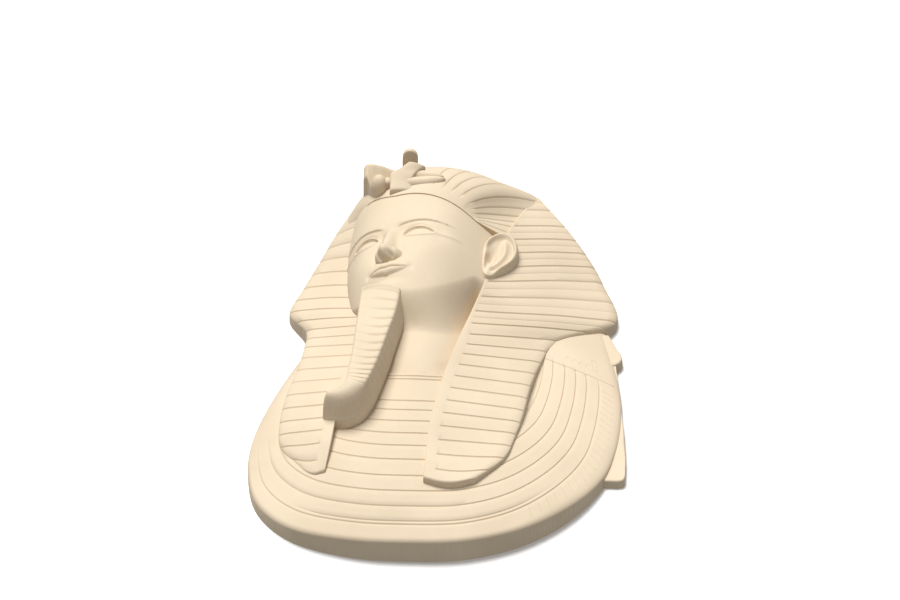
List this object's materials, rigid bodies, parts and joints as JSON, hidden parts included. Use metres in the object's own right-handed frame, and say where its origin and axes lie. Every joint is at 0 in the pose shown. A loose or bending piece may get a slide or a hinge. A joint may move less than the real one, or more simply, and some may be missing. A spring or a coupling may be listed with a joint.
{
  "type": "pharaoh relief bust",
  "caption": "Flat-backed high-relief bust of a pharaoh in a striped headcloth, with plaited beard, brow ornaments and broad collar, shown in three-quarter view.",
  "frame": {"origin": "under the middle of the relief's box, on its flat back", "axes": "+X to the viewer's right, +Y from the collar's rim towards the crown, +Z out of the relief; it lies on its flat back"},
  "size_m": [0.3965, 0.534, 0.122],
  "materials": {
    "stone": "smooth matt cream limestone"
  },
  "bodies": {
    "root": {"pharaoh_relief": "stone"}
  },
  "joints": []
}
